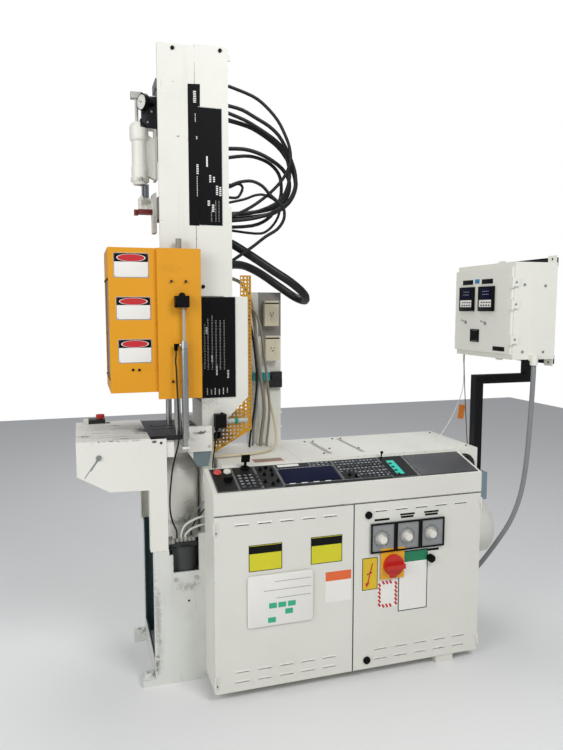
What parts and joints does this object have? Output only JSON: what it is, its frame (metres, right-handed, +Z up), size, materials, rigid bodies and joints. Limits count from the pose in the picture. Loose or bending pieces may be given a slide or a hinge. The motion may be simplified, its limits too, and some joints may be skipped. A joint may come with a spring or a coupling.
{
  "type": "vertical injection moulding machine",
  "caption": "Vertical injection moulding machine on a pedestal: raised yellow safety gate, white frame and tower, looped black hoses, side cabinet with console, control box on a stand.",
  "frame": {"origin": "clamp axis in the plane that the pedestal stands on", "axes": "+X along the cabinet, +Y away from its doors, +Z up"},
  "size_m": [2.154, 0.723, 2.655],
  "materials": {
    "paint_light": "semi-gloss enamel",
    "paint_grey": "semi-gloss enamel",
    "guard_yellow": "gloss enamel",
    "steel_dark": "blackened, oily",
    "steel_bright": "ground",
    "iron_grey": "plain",
    "black_plastic": "matte",
    "console_film": "printed film",
    "beige_plastic": "matte",
    "red_plastic": "gloss",
    "white_plastic": "gloss",
    "hose_black": "satin",
    "conduit_grey": "satin",
    "dark_red": "worn",
    "stand_black": "satin"
  },
  "bodies": {
    "frame": {"base_housing": "paint_light", "housing_panels": "paint_light", "fan_grille": "steel_dark", "pump_motor": "paint_light", "pedestal": "paint_grey", "operator_table": "paint_light", "bed_block": "paint_light", "clamp_cylinder": "paint_light", "clamp_valve": "iron_grey", "tie_rods": "steel_bright", "upper_platen": "steel_dark", "c_frame": "paint_light", "tower_frame": "paint_grey", "tower_covers": "paint_light", "scale_panels": "black_plastic", "perforated_guard": "guard_yellow", "air_cylinder": "steel_bright", "cable_post": "paint_light", "outlet_boxes": "beige_plastic", "limit_switches": "black_plastic", "cabinet_shell": "paint_grey", "console_panel": "console_film", "control_stand": "stand_black", "control_box_shell": "paint_light", "loop_hoses": "hose_black", "main_conduit": "hose_black", "riser_hoses": "conduit_grey", "clamp_hoses": "hose_black", "box_conduit": "conduit_grey", "box_wires": "hose_black"},
    "clamp": {"lower_platen": "steel_dark", "clamp_ram": "steel_bright"},
    "gate": {"safety_gate": "guard_yellow", "gate_rod": "black_plastic"},
    "injector": {"injection_unit": "iron_grey", "material_receiver": "paint_light"},
    "screw": {"injection_screw": "steel_bright"},
    "feed_gate": {"slide_gate": "dark_red"},
    "left_door": {"left_door": "paint_grey"},
    "right_door": {"right_door": "paint_grey", "door_instruments": "iron_grey"},
    "upper_latch": {"upper_latch": "black_plastic"},
    "lower_latch": {"lower_latch": "black_plastic"},
    "timer_knob_1": {"timer_knob_1": "white_plastic"},
    "timer_knob_2": {"timer_knob_2": "white_plastic"},
    "timer_knob_3": {"timer_knob_3": "white_plastic"},
    "disconnect_handle": {"disconnect_handle": "red_plastic"},
    "small_knob": {"small_knob": "black_plastic"},
    "red_button": {"red_button": "red_plastic"},
    "white_button": {"white_button": "white_plastic"},
    "selector": {"selector": "black_plastic"},
    "lever": {"lever": "black_plastic"},
    "key_knob": {"key_knob": "black_plastic"},
    "stop_button": {"stop_button": "red_plastic"},
    "box_door": {"box_door": "paint_light", "controllers": "black_plastic"},
    "left_toggle": {"left_toggle": "steel_bright"},
    "right_toggle": {"right_toggle": "steel_bright"},
    "rocker": {"rocker": "black_plastic"},
    "fan": {"fan_rotor": "black_plastic"}
  },
  "joints": [
    {"name": "clamp_slide", "type": "slide", "parent": "frame", "child": "clamp", "axis": [0, 0, 1], "range_m": [0, 0.1]},
    {"name": "gate_slide", "type": "slide", "parent": "frame", "child": "gate", "axis": [0, 0, 1], "range_m": [-0.12, 0]},
    {"name": "injector_slide", "type": "slide", "parent": "frame", "child": "injector", "axis": [0, 0, 1], "range_m": [-0.055, 0]},
    {"name": "screw_slide", "type": "slide", "parent": "injector", "child": "screw", "axis": [0, 0, 1], "range_m": [-0.045, 0]},
    {"name": "feed_gate_slide", "type": "slide", "parent": "injector", "child": "feed_gate", "axis": [1, 0, 0], "range_m": [-0.02, 0]},
    {"name": "left_door_hinge", "type": "hinge", "parent": "frame", "child": "left_door", "pos_m": [0.092, -0.441, 0.4], "axis": [0, 0, -1], "range_deg": [0, 110]},
    {"name": "right_door_hinge", "type": "hinge", "parent": "frame", "child": "right_door", "pos_m": [1.302, -0.441, 0.4], "axis": [0, 0, 1], "range_deg": [0, 110]},
    {"name": "upper_latch_turn", "type": "hinge", "parent": "right_door", "child": "upper_latch", "pos_m": [0.754, -0.437, 0.718], "axis": [0, 1, 0], "range_deg": [0, 90]},
    {"name": "lower_latch_turn", "type": "hinge", "parent": "right_door", "child": "lower_latch", "pos_m": [0.754, -0.437, 0.075], "axis": [0, 1, 0], "range_deg": [0, 90]},
    {"name": "timer_knob_1_turn", "type": "hinge", "parent": "right_door", "child": "timer_knob_1", "pos_m": [0.812, -0.45, 0.612], "axis": [0, -1, 0], "range_deg": [0, 270]},
    {"name": "timer_knob_2_turn", "type": "hinge", "parent": "right_door", "child": "timer_knob_2", "pos_m": [0.932, -0.45, 0.613], "axis": [0, -1, 0], "range_deg": [0, 270]},
    {"name": "timer_knob_3_turn", "type": "hinge", "parent": "right_door", "child": "timer_knob_3", "pos_m": [1.048, -0.45, 0.614], "axis": [0, -1, 0], "range_deg": [0, 270]},
    {"name": "disconnect_turn", "type": "hinge", "parent": "right_door", "child": "disconnect_handle", "pos_m": [0.868, -0.45, 0.492], "axis": [0, -1, 0], "range_deg": [0, 90]},
    {"name": "small_knob_turn", "type": "hinge", "parent": "right_door", "child": "small_knob", "pos_m": [1.051, -0.45, 0.499], "axis": [0, -1, 0], "range_deg": [-135, 135]},
    {"name": "red_button_press", "type": "slide", "parent": "frame", "child": "red_button", "axis": [0, -0.2693, 0.9631], "range_m": [-0.0035, 0], "stiffness_N_per_m": 900},
    {"name": "white_button_press", "type": "slide", "parent": "frame", "child": "white_button", "axis": [0, -0.2693, 0.9631], "range_m": [-0.0035, 0], "stiffness_N_per_m": 900},
    {"name": "selector_turn", "type": "hinge", "parent": "frame", "child": "selector", "pos_m": [0.17, -0.3484, 0.88677], "axis": [0, -0.2693, 0.9631], "range_deg": [-45, 45]},
    {"name": "key_knob_turn", "type": "hinge", "parent": "frame", "child": "key_knob", "pos_m": [0.262, -0.26172, 0.91101], "axis": [0, -0.2693, 0.9631], "range_deg": [0, 90]},
    {"name": "lever_tilt", "type": "hinge", "parent": "frame", "child": "lever", "pos_m": [0.895, -0.25787, 0.91209], "axis": [1, 0, 0], "range_deg": [-18, 18]},
    {"name": "stop_button_press", "type": "slide", "parent": "frame", "child": "stop_button", "axis": [0, 0, 1], "range_m": [-0.0045, 0], "stiffness_N_per_m": 1200},
    {"name": "box_door_hinge", "type": "hinge", "parent": "frame", "child": "box_door", "pos_m": [1.445, 0.028, 1.57], "axis": [0, 0, -1], "range_deg": [0, 110]},
    {"name": "left_toggle_flip", "type": "hinge", "parent": "box_door", "child": "left_toggle", "pos_m": [1.438, -0.07, 1.518], "axis": [0, -1, 0], "range_deg": [0, 44]},
    {"name": "right_toggle_flip", "type": "hinge", "parent": "box_door", "child": "right_toggle", "pos_m": [1.438, -0.232, 1.516], "axis": [0, -1, 0], "range_deg": [0, 44]},
    {"name": "rocker_flip", "type": "hinge", "parent": "box_door", "child": "rocker", "pos_m": [1.437, -0.15, 1.456], "axis": [0, 1, 0], "range_deg": [0, 11]},
    {"name": "fan_spin", "type": "hinge", "parent": "frame", "child": "fan", "pos_m": [1.337, -0.2, 0.84], "axis": [0, 1, 0], "continuous": true}
  ]
}
